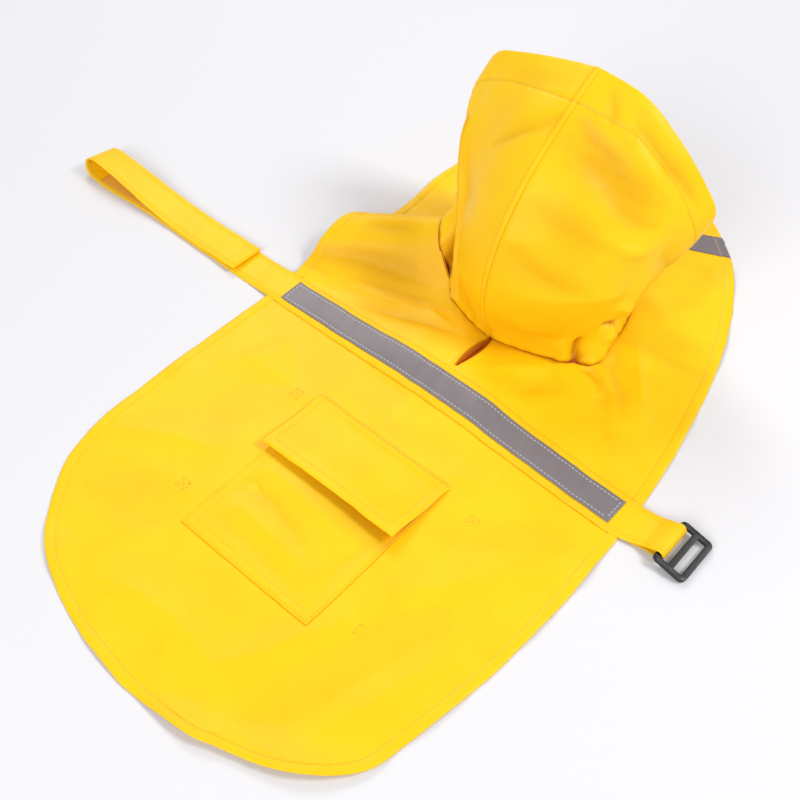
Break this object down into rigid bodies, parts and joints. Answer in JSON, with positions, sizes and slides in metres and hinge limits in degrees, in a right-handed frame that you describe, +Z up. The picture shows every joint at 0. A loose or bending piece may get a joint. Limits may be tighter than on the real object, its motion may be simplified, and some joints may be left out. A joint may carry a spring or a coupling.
{
  "type": "dog raincoat",
  "caption": "Dog raincoat laid flat: cape with chest flaps, standing hood, flapped back pocket, leash slit, reflective tape, belly strap with slide buckle",
  "frame": {"origin": "On the table under the spine, at the lower edge of the back pocket", "axes": "+X across the coat towards the slide buckle, +Y along the spine towards the head, +Z up from the table"},
  "size_m": [0.7098, 0.7089, 0.2238],
  "materials": {
    "coated_cloth": "semi-matte yellow coated polyester",
    "reflective_tape": "grey glass-bead tape, satin",
    "loop_pile": "matte loop pile",
    "buckle_plastic": "satin moulded acetal"
  },
  "bodies": {
    "root": {"back_panel": "coated_cloth", "shoulder_left": "coated_cloth", "shoulder_right": "coated_cloth", "hood_left": "coated_cloth", "hood_right": "coated_cloth", "pocket": "coated_cloth", "pocket_flap": "coated_cloth", "belly_strap": "coated_cloth", "strap_fastener": "loop_pile", "strap_tape": "reflective_tape", "chest_tape": "reflective_tape", "slide_buckle": "buckle_plastic"}
  },
  "joints": []
}
